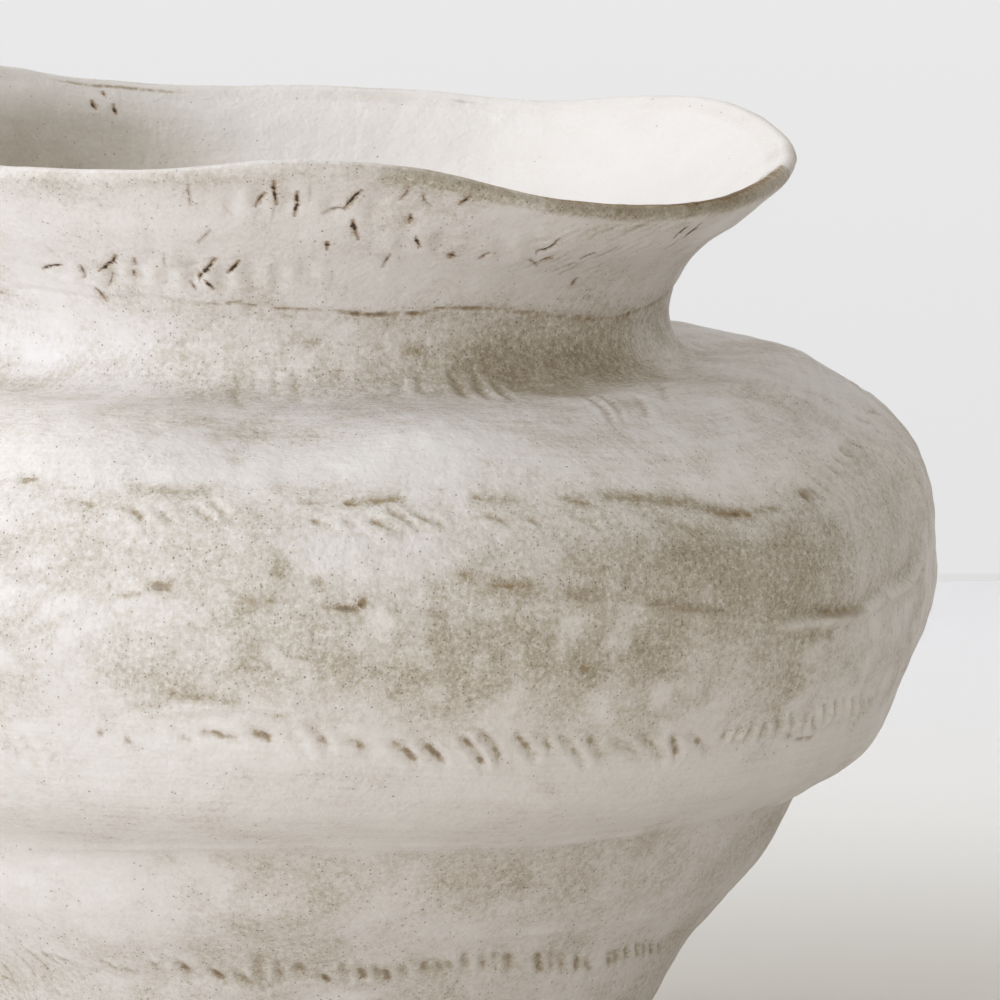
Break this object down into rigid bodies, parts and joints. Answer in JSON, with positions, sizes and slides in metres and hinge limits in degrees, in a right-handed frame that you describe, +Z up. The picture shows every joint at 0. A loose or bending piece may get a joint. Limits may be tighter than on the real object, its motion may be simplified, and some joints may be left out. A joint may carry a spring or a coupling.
{
  "type": "ceramic pot",
  "caption": "Wide-bellied, hand-coiled stoneware pot with a narrow flat foot, a hollow neck and a flared, ruffled lip, glazed matt white over speckled clay.",
  "frame": {"origin": "centre of the flat underside of the foot", "axes": "+Z up along the pot's axis, -Y towards the front of the picture, +X to its right"},
  "size_m": [0.333, 0.3394, 0.2662],
  "materials": {
    "glaze": "satin-matt white glaze, thin enough for the brown, speckled stoneware to show through where it breaks",
    "bare_clay": "unglazed speckled stoneware"
  },
  "bodies": {
    "root": {"base_slab": "bare_clay", "foot_coil": "glaze", "lower_wall_coil": "glaze", "flank_coil": "glaze", "lower_belly_coil": "glaze", "upper_belly_coil": "glaze", "lower_shoulder_coil": "glaze", "upper_shoulder_coil": "glaze", "neck_coil": "glaze", "collar_coil": "glaze", "flare_coil": "glaze", "rim_coil": "glaze"}
  },
  "joints": []
}
